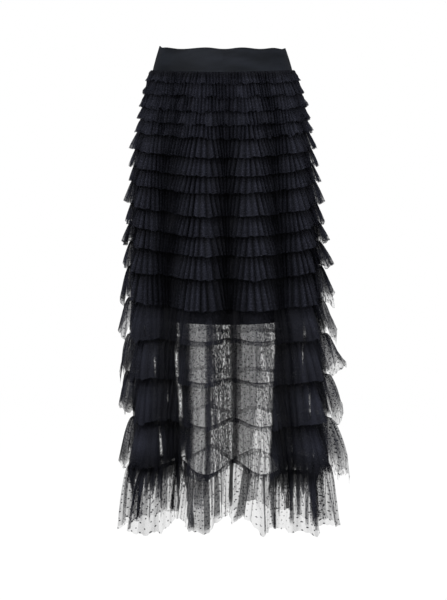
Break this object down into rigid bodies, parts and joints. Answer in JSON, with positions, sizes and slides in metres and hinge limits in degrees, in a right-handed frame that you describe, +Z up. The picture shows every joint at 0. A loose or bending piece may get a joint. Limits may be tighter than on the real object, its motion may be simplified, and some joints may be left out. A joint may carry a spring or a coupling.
{
  "type": "tulle skirt",
  "caption": "Long tiered tulle skirt on a wide flat waistband, standing open and hollow as if worn, with a short opaque lining and gathered dotted tulle ruffles all the way down.",
  "frame": {"origin": "centre of the waist at the middle of the waistband's height, where the wearer's waist holds the skirt", "axes": "+Z up, -Y out of the centre front, +X towards the side on the viewer's right when facing the front"},
  "size_m": [0.4758, 0.4028, 0.9833],
  "materials": {
    "band_satin": "close-woven blue-black stretch satin, softly lit, with stitched edges",
    "lining_cloth": "matte black opaque lining",
    "dotted_tulle": "sheer blue-black net with small woven dots"
  },
  "bodies": {
    "root": {"waistband": "band_satin", "lining": "lining_cloth", "foundation": "dotted_tulle", "tier_01": "dotted_tulle", "tier_02": "dotted_tulle", "tier_03": "dotted_tulle", "tier_04": "dotted_tulle", "tier_05": "dotted_tulle", "tier_06": "dotted_tulle", "tier_07": "dotted_tulle", "tier_08": "dotted_tulle", "tier_09": "dotted_tulle", "tier_10": "dotted_tulle", "tier_11": "dotted_tulle", "tier_12": "dotted_tulle", "tier_13": "dotted_tulle", "tier_14": "dotted_tulle", "tier_15": "dotted_tulle", "tier_16": "dotted_tulle", "tier_17": "dotted_tulle", "tier_18": "dotted_tulle"}
  },
  "joints": []
}
